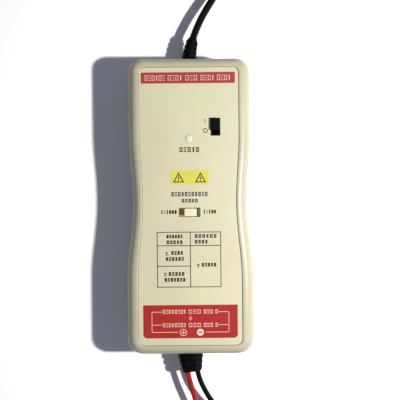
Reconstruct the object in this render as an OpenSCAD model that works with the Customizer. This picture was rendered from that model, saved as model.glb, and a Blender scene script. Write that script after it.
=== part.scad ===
// High-voltage differential probe: a waisted hand-held case, a coaxial output
// cable with a bayonet plug, and two input leads with shrouded 4 mm plugs.
// Millimetres.  Origin: middle of the case's back, on the surface it lies on.
// +X to the right of the front panel, +Y to the output cable, +Z out of the panel.

/* [Case] */
// Length of the case along Y
case_len = 192.8; // [190:0.2:200]
// Half width near the output end
half_w_top = 40.3; // [39:0.1:42]
// Half width at the waist
half_w_waist = 37.7; // [37:0.1:39]
// Half width near the input end
half_w_bottom = 42.05; // [41:0.05:44]
// Height of the rim around the front panel
case_h = 37.4; // [37:0.1:39]
// Height of the joint line between the two halves
part_z = 14.5; // [14.4:0.1:14.6]
// Wall thickness of both halves
wall = 2.6; // [2.4:0.1:2.8]
// Depth of the front panel below the rim
panel_drop = 0.5; // [0.3:0.1:0.8]

/* [Switches and lamp] */
// Travel of the power switch
power_travel = 3; // [2:0.1:3]
// Travel of the ratio switch
ratio_travel = 2.7; // [2:0.1:2.7]
// How far the power knob stands above the panel
power_proud = 2.5; // [1.5:0.1:3]
// How far the ratio knob stands above the panel
ratio_proud = 1.9; // [1:0.1:2.5]
// Diameter of the power lamp
lamp_d = 5; // [4.8:0.1:5]

/* [Cells] */
// Diameter of one cell
cell_d = 14.2; // [13.8:0.1:14.4]
// Length of one cell with its nub
cell_len = 50.3; // [49.8:0.1:50.5]

/* [Cables] */
// Diameter of the output coaxial cable
coax_d = 5; // [4.8:0.1:5]
// Diameter of each input lead
lead_d = 3.6; // [3.4:0.1:3.6]
// Outer radius of the coax coil, at the middle of its outermost turn
coax_coil_r = 33; // [33:0.5:34]
// Outer radius of each lead coil, at the middle of its outermost turn
lead_coil_r = 21; // [21:0.5:22]

/* [Hidden] */
$fn = 48;
eps = 0.01;

// Case outline: the sides blend between three half widths with cosine curves.
jack_proud = 2.2;
shift_y = 0.3;
y_out = case_len / 2 - shift_y;
y_in = -case_len / 2 - shift_y;
blend_top = [2, 46];
blend_bottom = [2, -48];
straight_top = [59, 72];
straight_bottom = [-72, -60];
end_gain = 0.95;
rim_gain = 0.03;
corner_top = [10, 3.5];
corner_bottom = [11.5, 4];
rim_inset = 8.6;
side_steps = 8;
corner_steps = 7;
panel_z = case_h - panel_drop;
seam = 0.05;

function ease(t) = (1 - cos(180 * min(1, max(0, t)))) / 2;
function along(y, blend) = ease((y - blend[0]) / (blend[1] - blend[0]));
function half_w(y) = y > blend_top[0]
    ? half_w_waist + (half_w_top - half_w_waist) * along(y, blend_top)
    : half_w_waist + (half_w_bottom - half_w_waist) * along(y, blend_bottom);
function side_x(y, inset) = half_w(y) - inset * (1 + rim_gain * (half_w(y) - half_w_top));
function corner_r(pair, inset) = max(1, pair[0] + (pair[1] - pair[0]) * inset / rim_inset);
function part_way(from, to, share) = from + (to - from) * share;
function side_ys() = concat(
    straight_bottom,
    [for (i = [0 : side_steps]) part_way(blend_bottom[1], blend_bottom[0], i / side_steps)],
    [for (i = [1 : side_steps]) part_way(blend_top[0], blend_top[1], i / side_steps)],
    straight_top);
function arc(cx, cy, r, from) = [
    for (i = [0 : corner_steps])
        let (turn = from + 90 * i / corner_steps)
        [cx + r * cos(turn), cy + r * sin(turn)]];

// The outline moved inwards by inset, counter-clockwise from the right-hand side.
function outline(inset) =
    let (rt = corner_r(corner_top, inset), rb = corner_r(corner_bottom, inset),
         xt = side_x(y_out, inset) - rt, xb = side_x(y_in, inset) - rb,
         yt = y_out - inset * end_gain - rt, yb = y_in + inset * end_gain + rb,
         ys = side_ys(), n = len(ys))
    concat(
        [for (y = ys) [side_x(y, inset), y]],
        arc(xt, yt, rt, 0),
        arc(-xt, yt, rt, 90),
        [for (i = [n - 1 : -1 : 0]) [-side_x(ys[i], inset), ys[i]]],
        arc(-xb, yb, rb, 180),
        arc(xb, yb, rb, 270));

// A solid whose outline changes with height; rings are [inset, z] pairs, lowest first.
module loft(rings) {
    n = len(outline(0));
    m = len(rings);
    pts = [for (ring = rings) for (p = outline(ring[0])) [p[0], p[1], ring[1]]];
    sides = [for (k = [0 : m - 2]) for (i = [0 : n - 1])
        let (a = k * n + i, b = k * n + (i + 1) % n)
        each [[a, a + n, b], [b, a + n, b + n]]];
    polyhedron(points = pts, faces = concat(
        [[for (i = [0 : n - 1]) i]],
        sides,
        [[for (i = [n - 1 : -1 : 0]) (m - 1) * n + i]]));
}

// A round bar swept along a route; the first and last faces are square to it.
function unit(v) = v / norm(v);
function heading(path, i) = unit(path[min(i + 1, len(path) - 1)] - path[max(i - 1, 0)]);
function ring_at(p, dir, r, sides) =
    let (across = unit(cross(dir, [0, 0, 1])), up = cross(across, dir))
    [for (k = [0 : sides - 1]) p + r * (across * cos(360 * k / sides) + up * sin(360 * k / sides))];
module sweep(path, d, sides) {
    m = len(path);
    r = d / 2;
    pts = [for (i = [0 : m - 1]) each ring_at(path[i], heading(path, i), r, sides)];
    walls = [for (i = [0 : m - 2]) for (k = [0 : sides - 1])
        let (a = i * sides + k, b = i * sides + (k + 1) % sides)
        each [[a, b, a + sides], [b, b + sides, a + sides]]];
    polyhedron(points = pts, faces = concat(
        [[for (k = [sides - 1 : -1 : 0]) k]],
        walls,
        [[for (k = [0 : sides - 1]) (m - 1) * sides + k]]));
}

module slab(size, at) {
    translate([at[0] - size[0] / 2, at[1] - size[1] / 2, at[2]])
        cube(size);
}
module post(r, at, h) {
    translate(at)
        cylinder(h = h, r = r);
}
// A cylinder that runs along +Y from a point
module rod_y(r, at, len) {
    translate(at)
        rotate([-90, 0, 0])
            cylinder(h = len, r = r);
}

// Heights inside the case
board_z = 24.6;
board_t = 1.6;
board_top = board_z + board_t;
panel_under = 34.5;
crown_z = 27;
draft = 0.8;
crown_inset = 7;
back_round = 3.2;

// Places of the things on the front panel
power_at = [16.8, 49.9];
power_knob_size = [5.3, 7.6];
power_slot = [5.8, power_knob_size[1] + power_travel + 0.3];
ratio_at = [0, -4.15];
ratio_knob_size = [8.2, 4.7];
ratio_slot = [ratio_knob_size[0] + ratio_travel + 2.3, 5.4];
ratio_knob_x = 0.45;
lamp_at = [0, 42.6];
jack_at = [11.5, part_z];
jack_boss_r = 5.4;

// Case screws, from the back, and board screws, from below
case_screw_at = [[33.5, 87.6], [-33.5, 87.6], [34.2, -87], [-34.2, -87]];
board_screw_at = [[28, 77], [-28, 77], [28, -74], [-28, -74]];
screw_r = 1.45;
pilot_r = 1.5;
boss_r = 3.2;
back_boss_r = 4.2;
screw_head_r = 2.8;

// Battery bay in the back half
bay_x = 30.6;
bay_y = [21, 77.8];
bay_wall = 1.6;
bay_top = 17.4;
cell_pitch = 15;
cell_z = wall + 0.35 + cell_d / 2;
door_x = 30;
door_y = 17.5;
door_lip = 6.5;
door_gap = 0.25;

// Strain reliefs
out_relief_at = [0, y_out, part_z];
in_relief_at = [-0.8, y_in, part_z];
relief_hole_r = 4.1;
in_relief_hole = [12.6, 7.4];

// Routes of the cables where they are not coiled
coax_route = [
    [2.7, 113.3, 14.3], [3.5, 116, 14], [5.6, 121.5, 13.2], [8.5, 128, 12.4],
    [12.1, 134.6, 11.6], [15.9, 141, 10.8], [19.5, 147.6, 10.1], [22.6, 155, 9.5],
    [25, 163.5, 9], [26.4, 172, 8.6], [27, 180, 8.3], [27, 186, 8.2]
];
coax_end_route = [
    [-0.3, 153.5, 3.2], [6, 154.4, 3.2], [13, 155.6, 3.2], [20, 157.2, 3.4],
    [27, 160.4, 4], [33, 165.2, 5], [37.6, 171, 6.2], [40.4, 177.4, 7.1], [41, 182, 7.4]
];
red_route = [
    [-2.9, -112.4, 14.4], [-2.4, -115.2, 14.1], [-1.5, -119.4, 13.6], [-0.3, -124.3, 13],
    [1.1, -129.3, 12.2], [2.5, -134.3, 11.4], [3.8, -139.8, 10.2], [4.6, -146, 8.8],
    [4.7, -153, 7.4], [3.9, -160, 6.4], [2.7, -165.5, 6.1], [2, -169, 6.1]
];
red_end_route = [
    [-0.8, -179.5, 2.5], [-3.2, -183.7, 2.6], [-5.5, -188.2, 3.4], [-7.3, -192.6, 4.8],
    [-8.7, -197, 5.6]
];
black_route = [
    [3.9, -112.3, 14.4], [4.5, -115, 14.1], [5.8, -119.5, 13.6], [7.8, -124.3, 13],
    [10.3, -129.3, 12.2], [13.3, -134.3, 11.2], [17, -139, 10], [21.2, -143.2, 8.5],
    [26, -146.8, 7], [31, -148, 6.1]
];
black_end_route = [
    [49.2, -179.5, 2.5], [46.8, -183.7, 2.6], [44.5, -188.2, 3.4], [42.7, -192.6, 4.8],
    [41.3, -197, 5.6]
];
// Coils lie this far above the surface, on the loop of their tie
tie_t = 0.7;
coax_coil_at = [-6, 186];
coax_coil_in = 20;
red_coil_at = [-19, -169];
black_coil_at = [31, -169];
lead_coil_in = 15.2;
tie_w = 4;

// Far-end plugs
bnc_at = [41, 182, 7.4];
plug_turn = 14;
red_plug_at = [-8.7, -197, 5.6];
black_plug_at = [41.3, -197, 5.6];

// ---- case ----
function top_rings() = concat(
    [[0.35, part_z + seam], [0, part_z + 0.4]],
    [for (i = [0 : 8]) [
        part_way(crown_inset, draft, cos(90 * i / 8)),
        part_way(crown_z, case_h, sin(90 * i / 8))
    ]],
    [
        [rim_inset - 0.55, case_h], [rim_inset - 0.25, case_h - 0.08],
        [rim_inset - 0.1, case_h - 0.25], [rim_inset, panel_z]
    ]);
function bottom_rings() = concat(
    [for (i = [0 : 4]) [0.6 + back_round * (1 - sin(90 * i / 4)), back_round * (1 - cos(90 * i / 4))]],
    [[0, part_z - 0.4], [0.35, part_z - seam]]);

module jack_boss() {
    rod_y(jack_boss_r, [jack_at[0], y_out - 3, part_z], 3 + jack_proud);
}
module end_holes() {
    rod_y(relief_hole_r, [out_relief_at[0], y_out - 6, part_z], 12);
    rod_y(3.3, [jack_at[0], y_out - 6, part_z], 12);
    rod_y(4.7, [jack_at[0], y_out - 6, part_z], 4.4);
    slab([in_relief_hole[0], 12, in_relief_hole[1]], [in_relief_at[0], y_in, part_z - in_relief_hole[1] / 2]);
}

module top_shell() {
    color([0.85, 0.83, 0.72])
    difference() {
        union() {
            difference() {
                union() {
                    loft(top_rings());
                    intersection() {
                        jack_boss();
                        translate([0, y_out - 10, part_z + seam])
                            cube([40, 20, 20]);
                    }
                }
                translate([0, 0, part_z - 1])
                    linear_extrude(height = crown_z + 2 - part_z)
                        polygon(outline(wall + draft));
                translate([0, 0, crown_z])
                    linear_extrude(height = 4.6)
                        polygon(outline(5.4));
                translate([0, 0, crown_z])
                    linear_extrude(height = panel_under - crown_z)
                        polygon(outline(8));
            }
            for (p = case_screw_at)
                post(boss_r, [p[0], p[1], part_z + seam], 15);
            for (p = board_screw_at)
                post(2.6, [p[0], p[1], board_top], panel_under - board_top + eps);
        }
        for (p = case_screw_at)
            post(pilot_r, [p[0], p[1], part_z - 1], 12);
        for (p = board_screw_at)
            post(1.25, [p[0], p[1], board_top - 1], 7.5);
        slab([power_slot[0], power_slot[1], 8], [power_at[0], power_at[1], panel_under - 2]);
        slab([ratio_slot[0], ratio_slot[1], 8], [ratio_at[0], ratio_at[1], panel_under - 2]);
        post(lamp_d / 2 + 0.1, [lamp_at[0], lamp_at[1], panel_under - 2], 8);
        end_holes();
    }
}

module bottom_body() {
    union() {
        difference() {
            union() {
                loft(bottom_rings());
                intersection() {
                    jack_boss();
                    translate([0, y_out - 10, part_z - seam - 20])
                        cube([40, 20, 20]);
                }
            }
            translate([0, 0, wall])
                linear_extrude(height = part_z)
                    polygon(outline(wall + 0.4));
        }
        for (p = case_screw_at)
            post(back_boss_r, [p[0], p[1], wall - eps], part_z - wall - seam);
    }
}

module bottom_shell() {
    bay_mid = (bay_y[0] + bay_y[1]) / 2;
    bay_len = bay_y[1] - bay_y[0];
    color([0.83, 0.81, 0.70])
    difference() {
        union() {
            bottom_body();
            slab([2 * (bay_x + bay_wall), bay_len + 2 * bay_wall, bay_top + 1.4 - wall + eps],
                [0, bay_mid, wall - eps]);
        }
        slab([2 * bay_x, bay_len, bay_top + 2], [0, bay_mid, -2]);
        translate([-door_x - door_gap, door_y - door_gap, -1])
            cube([2 * (door_x + door_gap), 90, wall + 1 + door_gap]);
        translate([-door_x - door_gap, bay_y[1] + bay_wall, -1])
            cube([2 * (door_x + door_gap), 30, door_lip + 1 + door_gap]);
        for (p = case_screw_at) {
            post(1.7, [p[0], p[1], -1], part_z + 2);
            post(screw_head_r + 0.4, [p[0], p[1], -1], 5);
        }
        end_holes();
    }
}

// The door is the piece of the back that its opening leaves out, with its end lip.
module battery_door() {
    color([0.83, 0.81, 0.70])
    difference() {
        intersection() {
            loft(bottom_rings());
            union() {
                translate([-door_x, door_y, 0.15])
                    cube([2 * door_x, 90, wall - 0.15]);
                translate([-door_x, y_out - 5, 0.15])
                    cube([2 * door_x, 10, door_lip]);
            }
        }
        for (i = [0 : 4])
            slab([26 - 4 * abs(i - 2), 1.2, 0.7], [0, 34 + 3 * i, 0]);
    }
}

// ---- labels ----
label_t = 0.12;
module rounded_plate(size, r, at, t) {
    translate([at[0], at[1], at[2]])
        linear_extrude(height = t)
            union() {
                square([size[0] - 2 * r, size[1]], center = true);
                square([size[0], size[1] - 2 * r], center = true);
                for (sx = [-1, 1], sy = [-1, 1])
                    translate([sx * (size[0] / 2 - r), sy * (size[1] / 2 - r)])
                        circle(r = r);
            }
}
module output_label() {
    color([0.72, 0.2, 0.2])
        rounded_plate([59.6, 7], 0.8, [-0.4, 81.1, panel_z], label_t);
}
module caution_label() {
    color([0.92, 0.9, 0.4])
        rounded_plate([24, 8.8], 0.5, [0.4, 18.1, panel_z], label_t);
}
module input_label() {
    color([0.75, 0.17, 0.15])
        translate([0, 0, panel_z])
            linear_extrude(height = label_t)
                union() {
                    translate([-29.9, -81.3])
                        square([59.8, 18.5]);
                    translate([-27.4, -83.8])
                        square([54.8, 5]);
                    for (s = [-1, 1])
                        translate([s * 27.4, -81.3])
                            circle(r = 2.5);
                }
}

// ---- switches and lamp ----
// A slide switch: a can open at the top, in which the knob's foot slides.
module switch_body(at, outer, cavity, top) {
    difference() {
        slab([outer[0], outer[1], top - board_top], [at[0], at[1], board_top]);
        slab([cavity[0], cavity[1], 4], [at[0], at[1], top - 2.4]);
    }
}
switch_top = 33.6;
foot_z = switch_top - 2.1;
module power_switch_body() {
    color([0.12, 0.12, 0.13])
        switch_body(power_at, [8.6, 14], [power_slot[0], power_slot[1] + 0.4], switch_top);
}
// The knob rests at its far position, with ribs across its top
module power_switch_knob() {
    kx = power_knob_size[0];
    ky = power_knob_size[1];
    cy = power_at[1] + power_slot[1] / 2 - 0.15 - ky / 2;
    top = panel_z + power_proud;
    color([0.07, 0.07, 0.08])
    difference() {
        slab([kx, ky, top - foot_z], [power_at[0], cy, foot_z]);
        for (i = [-2 : 2])
            slab([kx + 1, 0.6, 1], [power_at[0], cy + 1.4 * i, top - 0.5]);
    }
}
module ratio_switch_body() {
    color([0.32, 0.32, 0.25])
        switch_body([ratio_at[0] - 0.9, ratio_at[1]], [19, 8.4],
            [ratio_slot[0] - 1.2, ratio_slot[1] - 0.2], switch_top);
}
// A knob with sloping ends, at its right-hand position
module ratio_switch_knob() {
    kx = ratio_knob_size[0] / 2;
    ky = ratio_knob_size[1];
    top = panel_z + ratio_proud;
    color([0.93, 0.9, 0.76])
        translate([ratio_at[0] + ratio_knob_x, ratio_at[1] + ky / 2, 0])
            rotate([90, 0, 0])
                linear_extrude(height = ky)
                    polygon([
                        [-kx, foot_z], [kx, foot_z], [kx, panel_z],
                        [kx - 0.5, top], [0.5 - kx, top], [-kx, panel_z]
                    ]);
}
module power_lamp() {
    r = lamp_d / 2 - 0.1;
    color([0.9, 0.9, 0.84])
    union() {
        translate([lamp_at[0], lamp_at[1], 0])
            rotate_extrude()
                polygon(concat(
                    [[0, 29.5], [2.9, 29.5], [2.9, 30.5], [r, 30.5], [r, panel_z - 0.2]],
                    [for (a = [15 : 15 : 90]) [r * cos(a), panel_z - 0.2 + 0.6 * sin(a)]]));
        for (s = [-1, 1])
            post(0.3, [lamp_at[0] + 1.27 * s, lamp_at[1], board_top], 3.4);
    }
}

// ---- electronics ----
module main_board() {
    color([0.1, 0.38, 0.2])
    difference() {
        union() {
            translate([-32, -80, board_z])
                cube([64, 162, board_t]);
            translate([5, 70, board_z])
                cube([14, 21, board_t]);
        }
        for (p = board_screw_at)
            post(1.7, [p[0], p[1], board_z - 1], 4);
        for (y = [-60 : 10 : -20])
            slab([1.6, 7, 4], [0, y, board_z - 1]);
    }
}
// A row of high-voltage resistors in series, joined by their leads
module divider(x) {
    count = 5;
    pitch = 9.6;
    first = -74;
    z = board_top + 2.2;
    color([0.35, 0.55, 0.75])
    union() {
        for (i = [0 : count - 1]) {
            rod_y(1.6, [x, first + pitch * i, z], 7.4);
            rod_y(1.8, [x, first + pitch * i, z], 1.4);
            rod_y(1.8, [x, first + pitch * i + 6, z], 1.4);
        }
        rod_y(0.35, [x, first - 2, z], pitch * count + 1);
        post(0.35, [x, first - 1.6, board_top], 2.5);
        post(0.35, [x, first + pitch * count - 1.4, board_top], 2.5);
    }
}
module plus_divider() {
    divider(-16);
}
module minus_divider() {
    divider(16);
}
module shield_can() {
    color([0.75, 0.75, 0.76])
    difference() {
        slab([40, 21, 6.4], [0, 17.5, board_top]);
        slab([39.2, 20.2, 7], [0, 17.5, board_top - 1]);
        for (x = [-12 : 6 : 12])
            post(1.1, [x, 17.5, board_top], 10);
    }
}
module amplifier_chips() {
    color([0.1, 0.1, 0.11])
        for (x = [-10, 0, 10])
            union() {
                slab([4, 5, 1.6], [x, 17.5, board_top + 0.3]);
                for (i = [-3 : 2 : 3])
                    slab([6, 0.5, 0.5], [x, 17.5 + 0.62 * i, board_top]);
            }
}
module trim_capacitors() {
    color([0.2, 0.5, 0.25])
        for (x = [-25, 25], y = [-26, -14])
            difference() {
                union() {
                    slab([6.4, 6.4, 2.4], [x, y, board_top]);
                    post(2.6, [x, y, board_top], 3.6);
                }
                slab([3.4, 0.7, 2], [x, y, board_top + 3]);
            }
}
module trim_pots() {
    color([0.12, 0.3, 0.7])
        for (y = [38, 50, 62])
            difference() {
                union() {
                    slab([9.6, 9.6, 4.6], [-20, y, board_top]);
                    post(1.5, [-22.6, y + 2.6, board_top], 5.2);
                }
                slab([2.2, 0.6, 1], [-22.6, y + 2.6, board_top + 4.7]);
            }
}
module smoothing_capacitors() {
    color([0.15, 0.16, 0.3])
        for (x = [-4, 5, 14])
            difference() {
                post(3.15, [x, 70, board_top], 7);
                slab([5, 0.4, 1], [x, 70, board_top + 6.8]);
            }
}
// The low-voltage inlet: a square body, a round nose in the end wall, a centre pin
module power_jack() {
    x = jack_at[0];
    y0 = y_out - 15;
    color([0.1, 0.1, 0.11])
    union() {
        difference() {
            union() {
                slab([9, 10.6, board_z - part_z + 4.4], [x, y0 + 5.3, part_z - 4.4]);
                rod_y(4.4, [x, y0 + 10, part_z], 3.2);
            }
            rod_y(3.1, [x, y0 + 2, part_z], 20);
        }
        rod_y(1, [x, y0 + 1, part_z], 10.5);
    }
}

// ---- battery ----
// Odd cells have their nub at the low end of the bay, even cells at the high end.
contact_t = 0.7;
spring_len = 5.4;
contact_gap = 0.1;
function cell_x(i) = (i - 2.5) * cell_pitch;
function nub_low(i) = i % 2 == 1;
function cell_y(i) = bay_y[0] + (nub_low(i) ? contact_t : spring_len) + 2 * contact_gap;
module cell(i) {
    nub = 1.2;
    can = cell_len - nub;
    color([0.2, 0.22, 0.24])
    union() {
        rod_y(cell_d / 2, [cell_x(i), cell_y(i) + (nub_low(i) ? nub : 0), cell_z], can);
        rod_y(2.75, [cell_x(i), cell_y(i) + (nub_low(i) ? 0 : can - eps), cell_z], nub + eps);
    }
}
module battery_1() {
    cell(1);
}
module battery_2() {
    cell(2);
}
module battery_3() {
    cell(3);
}
module battery_4() {
    cell(4);
}
// Springs at the flat ends and plates at the nub ends, on the bay's end walls
module battery_springs() {
    color([0.8, 0.8, 0.78])
        for (i = [1 : 4])
            translate([cell_x(i), nub_low(i) ? bay_y[1] - contact_gap : bay_y[0] + contact_gap, cell_z])
                rotate([nub_low(i) ? 90 : -90, 0, 0])
                    rotate_extrude()
                        polygon([
                            [0, 0], [4.8, 0], [4.8, 0.5], [4.3, 0.5],
                            [2.4, spring_len], [0, spring_len]
                        ]);
}
function plate_y(i) = nub_low(i)
    ? bay_y[0] + contact_gap + contact_t / 2
    : bay_y[1] - contact_gap - contact_t / 2;
module battery_plates() {
    color([0.8, 0.8, 0.78])
        for (i = [1 : 4])
            slab([9, contact_t, 9], [cell_x(i), plate_y(i), cell_z - 4.5]);
}
module battery_wires() {
    for (s = [-1, 1])
        color(s == 1 ? [0.7, 0.1, 0.1] : [0.1, 0.1, 0.1])
            post(0.7, [26 * s, bay_y[0] - bay_wall - 1, 9], board_z - 9);
}

// ---- screws ----
module screw(at, head_z, len, r, head_r) {
    difference() {
        union() {
            post(head_r, [at[0], at[1], head_z], 1.8);
            post(r, [at[0], at[1], head_z + 1.8 - eps], len);
        }
        slab([head_r * 1.3, 0.8, 1.2], [at[0], at[1], head_z - 0.2]);
        slab([0.8, head_r * 1.3, 1.2], [at[0], at[1], head_z - 0.2]);
    }
}
module case_screws() {
    color([0.6, 0.6, 0.62])
        for (p = case_screw_at)
            screw(p, 2.2, 20, screw_r, screw_head_r);
}
module board_screws() {
    color([0.6, 0.6, 0.62])
        for (p = board_screw_at)
            screw(p, board_z - 1.8, 6.5, 1.2, 2.4);
}

// ---- cable ends inside the case ----
module coax_tail() {
    color([0.08, 0.08, 0.09])
        sweep([
            [0, y_out - 6.2, part_z], [-0.2, y_out - 7.8, 15.2], [-0.9, y_out - 9.8, 17.2],
            [-2.2, y_out - 12.2, 19.8], [-4.2, y_out - 15, 21.7], [-7, y_out - 18, 22.1]
        ], coax_d - 0.2, 10);
}
module input_tails() {
    x = in_relief_at[0];
    for (s = [-1, 1])
        color(s < 0 ? [0.6, 0.1, 0.1] : [0.1, 0.1, 0.1])
            sweep([
                [x + 3.4 * s, y_in + 6.2, part_z], [x + 3.6 * s, y_in + 8, 15],
                [x / 2 + 5.6 * s, y_in + 10.4, 16.8], [9 * s, y_in + 13, 19.4],
                [13 * s, y_in + 15.6, 21.6], [16 * s, y_in + 18.6, 22.7]
            ], lead_d, 8);
}

// ---- strain reliefs ----
// Round relief: a flange inside, a neck in the wall, and rings that taper and bend
module output_relief() {
    rings = 5;
    pitch = 3.25;
    bend = 3.6;
    r0 = 5.3;
    r1 = 4.1;
    color([0.08, 0.08, 0.09])
    union() {
        rod_y(5.6, [out_relief_at[0], y_out - 6.1, part_z], 2.1);
        rod_y(relief_hole_r - 0.15, [out_relief_at[0], y_out - 5, part_z], 5.4);
        rod_y(2.7, [out_relief_at[0], y_out - 6.2, part_z], 3);
        for (i = [0 : rings - 1])
            translate([out_relief_at[0] + relief_shift(i, pitch, bend), y_out + 0.2 + pitch * i, part_z])
                rotate([-0.6 * i, 0, -bend * i])
                    rotate([-90, 0, 0])
                        relief_ring(r0 + (r1 - r0) * i / (rings - 1), pitch);
    }
}
// How far sideways a bending relief has gone by its ring number i
function relief_shift(i, pitch, bend) = i == 0
    ? 0
    : relief_shift(i - 1, pitch, bend) + pitch * tan(bend * (i - 0.5));
module relief_ring(r, pitch) {
    edge = 0.35;
    face = pitch - 0.6;
    core = r - 0.9;
    rotate_extrude()
        polygon([
            [0, 0], [r - edge, 0], [r, edge], [r, face - edge], [r - edge, face],
            [core, face], [core, pitch + 0.9], [0, pitch + 0.9]
        ]);
}
// Flat relief for two leads: oval ribs on an oval core
module oval(w, h) {
    union() {
        square([w - h, h], center = true);
        for (s = [-1, 1])
            translate([s * (w - h) / 2, 0])
                circle(r = h / 2);
    }
}
module input_relief() {
    ribs = 4;
    pitch = 3.8;
    bend = 2.4;
    color([0.08, 0.08, 0.09])
    union() {
        slab([15.6, 2.1, 9.4], [in_relief_at[0], y_in + 5.05, part_z - 4.7]);
        slab([12.2, 6.2, 7], [in_relief_at[0], y_in + 2.9, part_z - 3.5]);
        for (i = [0 : ribs - 1])
            translate([in_relief_at[0] + relief_shift(i, pitch, bend), y_in - 0.2 - pitch * i, part_z])
                rotate([0, 0, bend * i])
                    rotate([90, 0, 0])
                        union() {
                            linear_extrude(height = pitch - 1)
                                oval(18.2 - 1.3 * i, 10.4 - 0.6 * i);
                            linear_extrude(height = pitch + 0.4)
                                oval(14.2 - 0.4 * i, 7.6 - 0.3 * i);
                        }
    }
}

// ---- output cable and its bayonet plug ----
module coil_ring(at, r_in, r_out, d) {
    translate([at[0], at[1], tie_t])
        rotate_extrude()
            translate([r_in - d / 2, 0])
                square([r_out - r_in + d, 2 * d]);
}
// A flat band around the coil's section, at an angle around the coil
module coil_tie(at, r_in, r_out, d, angle) {
    w = r_out - r_in + d;
    mid = (r_in + r_out) / 2;
    translate([at[0], at[1], 0])
        rotate([0, 0, angle])
            difference() {
                slab([w + 2 * tie_t + 0.2, tie_w, 2 * d + 2 * tie_t], [mid, 0, 0]);
                slab([w + 0.2, tie_w + 1, 2 * d + 0.1], [mid, 0, tie_t - 0.05]);
            }
}
module coax_cable() {
    color([0.06, 0.06, 0.07]) {
        sweep(coax_route, coax_d, 10);
        sweep(coax_end_route, coax_d, 10);
    }
}
module coax_coil() {
    color([0.06, 0.06, 0.07])
        coil_ring(coax_coil_at, coax_coil_in, coax_coil_r, coax_d);
}
module coax_tie() {
    color([0.12, 0.12, 0.13])
        coil_tie(coax_coil_at, coax_coil_in, coax_coil_r, coax_d, 150);
}
// Everything on the plug is turned about one axis, along +Y from its cable end
module on_bnc() {
    translate(bnc_at)
        rotate([-90, 0, 0])
            children();
}
module bnc_boot() {
    color([0.1, 0.1, 0.11])
        on_bnc()
            rotate_extrude()
                polygon([
                    [0, 0], [3.2, 0], [3.4, 0.6], [3.5, 4], [4.2, 5],
                    [4.4, 12], [5, 13], [5, 17], [0, 17]
                ]);
}
module bnc_body() {
    color([0.78, 0.78, 0.77])
        on_bnc()
            difference() {
                rotate_extrude()
                    polygon([
                        [0, 17], [5.4, 17], [5.7, 17.4], [5.7, 22], [5, 22],
                        [5, 29], [4.1, 29.4], [4.1, 39], [0, 39]
                    ]);
                translate([0, 0, 30])
                    cylinder(h = 10, r = 3.5);
            }
}
module bnc_insulator() {
    color([0.95, 0.95, 0.93])
        on_bnc()
            difference() {
                translate([0, 0, 30])
                    cylinder(h = 5, r = 3.45);
                translate([0, 0, 29])
                    cylinder(h = 8, r = 0.8);
            }
}
module bnc_pin() {
    color([0.85, 0.68, 0.3])
        on_bnc()
            rotate_extrude()
                polygon([[0, 30.1], [0.75, 30.1], [0.75, 36.8], [0.3, 37.6], [0, 37.6]]);
}
module bnc_collar() {
    grips = 12;
    color([0.8, 0.8, 0.79])
        on_bnc()
            difference() {
                rotate_extrude()
                    polygon([
                        [5.08, 22.3], [6.6, 22.3], [7.2, 22.9], [7.2, 34.4], [6.8, 35],
                        [6.8, 38.6], [6.4, 39], [4.95, 39], [4.95, 29.4], [5.08, 29.2]
                    ]);
                for (k = [0 : grips - 1])
                    rotate([0, 0, 360 * k / grips])
                        translate([7.7, 0, 24.2])
                            cylinder(h = 9, r = 0.8);
                for (s = [0, 180])
                    rotate([0, 0, s])
                        translate([3.9, -1.1, 35])
                            cube([5, 2.2, 5]);
            }
}

// ---- input leads and their shrouded plugs ----
module red_lead() {
    color([0.72, 0.1, 0.1]) {
        sweep(red_route, lead_d, 8);
        sweep(red_end_route, lead_d, 8);
    }
}
module red_coil() {
    color([0.72, 0.1, 0.1])
        coil_ring(red_coil_at, lead_coil_in, lead_coil_r, lead_d);
}
module red_tie() {
    color([0.12, 0.12, 0.13])
        coil_tie(red_coil_at, lead_coil_in, lead_coil_r, lead_d, 200);
}
module black_lead() {
    color([0.06, 0.06, 0.07]) {
        sweep(black_route, lead_d, 8);
        sweep(black_end_route, lead_d, 8);
    }
}
module black_coil() {
    color([0.06, 0.06, 0.07])
        coil_ring(black_coil_at, lead_coil_in, lead_coil_r, lead_d);
}
module black_tie() {
    color([0.12, 0.12, 0.13])
        coil_tie(black_coil_at, lead_coil_in, lead_coil_r, lead_d, 200);
}
// The plug's own axis is +Z: tail, grip with a finger flange, and an open shroud
module on_plug(at) {
    translate(at)
        rotate([0, 0, -plug_turn])
            rotate([90, 0, 0])
                children();
}
module shrouded_plug() {
    difference() {
        rotate_extrude()
            polygon([
                [0, 0], [2.7, 0], [3.1, 8], [4.4, 10], [5, 12], [5, 20],
                [5.5, 21], [5.5, 22.4], [5, 23.4], [5, 43], [4.7, 43.4], [0, 43.4]
            ]);
        translate([0, 0, 24])
            cylinder(h = 30, r = 4.3);
    }
}
module plug_pin() {
    rotate_extrude()
        polygon([[0, 24], [2, 24], [2, 41.2], [1.4, 42.2], [0, 42.2]]);
}
module red_plug() {
    color([0.72, 0.1, 0.1])
        on_plug(red_plug_at)
            shrouded_plug();
}
module red_pin() {
    color([0.8, 0.8, 0.78])
        on_plug(red_plug_at)
            plug_pin();
}
module black_plug() {
    color([0.06, 0.06, 0.07])
        on_plug(black_plug_at)
            shrouded_plug();
}
module black_pin() {
    color([0.8, 0.8, 0.78])
        on_plug(black_plug_at)
            plug_pin();
}

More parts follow.
